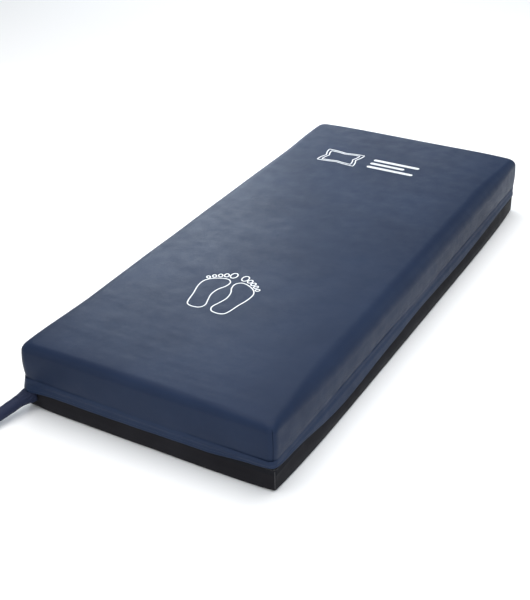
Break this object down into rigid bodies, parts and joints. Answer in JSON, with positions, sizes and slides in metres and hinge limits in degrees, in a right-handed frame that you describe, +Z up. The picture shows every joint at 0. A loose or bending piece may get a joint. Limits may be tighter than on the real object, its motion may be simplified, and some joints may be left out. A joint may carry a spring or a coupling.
{
  "type": "pressure relief mattress",
  "caption": "Zip-covered mattress of inflatable cross cells on a foam base, with a sleeved air hose, a push-in pump connector and a rotary quick-deflation valve.",
  "frame": {"origin": "centre of the underside, where the mattress rests on the bed deck or floor", "axes": "+X across the bed towards the patient's right-hand long side seen from the foot, +Y from foot to head, +Z up"},
  "size_m": [1.414, 2.3641, 0.24],
  "materials": {
    "cover_fabric": "satin navy coated stretch knit",
    "base_fabric": "matte black coated nylon",
    "grip": "matte",
    "webbing": "matte",
    "foam": "matte",
    "bed_sheet": "matte",
    "cell_film": "satin",
    "snap_metal": "satin",
    "hose_pvc": "satin",
    "fitting": "gloss",
    "valve_plate": "matte",
    "valve_knob": "gloss",
    "zip_tape": "matte",
    "zip_nylon": "satin",
    "zip_metal": "satin",
    "connector_shell": "satin",
    "latch": "satin",
    "seal": "matte",
    "print": "matte"
  },
  "bodies": {
    "mattress": {"top_cover": "cover_fabric", "zip_flap": "cover_fabric", "hose_boot": "cover_fabric", "hose_sleeve": "cover_fabric", "base_cover": "base_fabric", "head_seam_band": "base_fabric", "anti_slip_panels": "grip", "bed_straps": "webbing", "foam_base": "foam", "cell_bed_sheet": "bed_sheet", "air_cell_01": "cell_film", "air_cell_02": "cell_film", "air_cell_03": "cell_film", "air_cell_04": "cell_film", "air_cell_05": "cell_film", "air_cell_06": "cell_film", "air_cell_07": "cell_film", "air_cell_08": "cell_film", "air_cell_09": "cell_film", "air_cell_10": "cell_film", "air_cell_11": "cell_film", "air_cell_12": "cell_film", "air_cell_13": "cell_film", "air_cell_14": "cell_film", "air_cell_15": "cell_film", "air_cell_16": "cell_film", "air_cell_17": "cell_film", "air_cell_18": "cell_film", "air_cell_19": "cell_film", "air_cell_20": "cell_film", "cell_snap_tabs": "cell_film", "press_studs": "snap_metal", "cell_ports": "hose_pvc", "manifold_hose_a": "hose_pvc", "manifold_hose_b": "hose_pvc", "static_hose": "hose_pvc", "valve_hose_a": "hose_pvc", "supply_hose_a": "hose_pvc", "supply_hose_b": "hose_pvc", "tail_tubes": "hose_pvc", "tee_connectors_a": "fitting", "tee_connectors_b": "fitting", "tee_connectors_static": "fitting", "static_check_valve": "fitting", "cpr_valve_body": "fitting", "cpr_faceplate": "valve_plate", "zip_tape_upper": "zip_tape", "zip_tape_lower": "zip_tape", "zip_coil": "zip_nylon", "sleeve_cuff": "connector_shell", "connector_body": "connector_shell", "connector_seals": "seal"},
    "zip_slider": {"zip_slider": "zip_metal"},
    "zip_pull": {"zip_pull": "zip_metal"},
    "cpr_knob": {"cpr_knob": "valve_knob", "cpr_rotor": "fitting"},
    "latch_left": {"connector_latch_left": "latch"},
    "latch_right": {"connector_latch_right": "latch"},
    "connector_cap": {"connector_cap": "connector_shell"}
  },
  "joints": [
    {"name": "zip_slide", "type": "slide", "parent": "mattress", "child": "zip_slider", "axis": [0, 1, 0], "range_m": [-1.7, 0], "deforming": ["zip_coil", "zip_flap"]},
    {"name": "zip_pull_swing", "type": "hinge", "parent": "zip_slider", "child": "zip_pull", "pos_m": [-0.4525, 0.791, 0.08], "axis": [0, 0, 1], "range_deg": [0, 150], "deforming": ["zip_flap"]},
    {"name": "cpr_turn", "type": "hinge", "parent": "mattress", "child": "cpr_knob", "pos_m": [-0.446, 0.7, 0.026], "axis": [-1, 0, 0], "range_deg": [0, 90]},
    {"name": "latch_left_press", "type": "hinge", "parent": "mattress", "child": "latch_left", "pos_m": [-0.9538, -0.852, 0.0203], "axis": [0, 0, 1], "range_deg": [0, 8], "stiffness_Nm_per_rad": 1, "springref_deg": -2.86},
    {"name": "latch_right_press", "type": "hinge", "parent": "mattress", "child": "latch_right", "pos_m": [-0.8942, -0.852, 0.0203], "axis": [0, 0, -1], "range_deg": [0, 8], "stiffness_Nm_per_rad": 1, "springref_deg": -2.86},
    {"name": "cap_pull", "type": "slide", "parent": "mattress", "child": "connector_cap", "axis": [0, 1, 0], "range_m": [0, 0.03]}
  ]
}
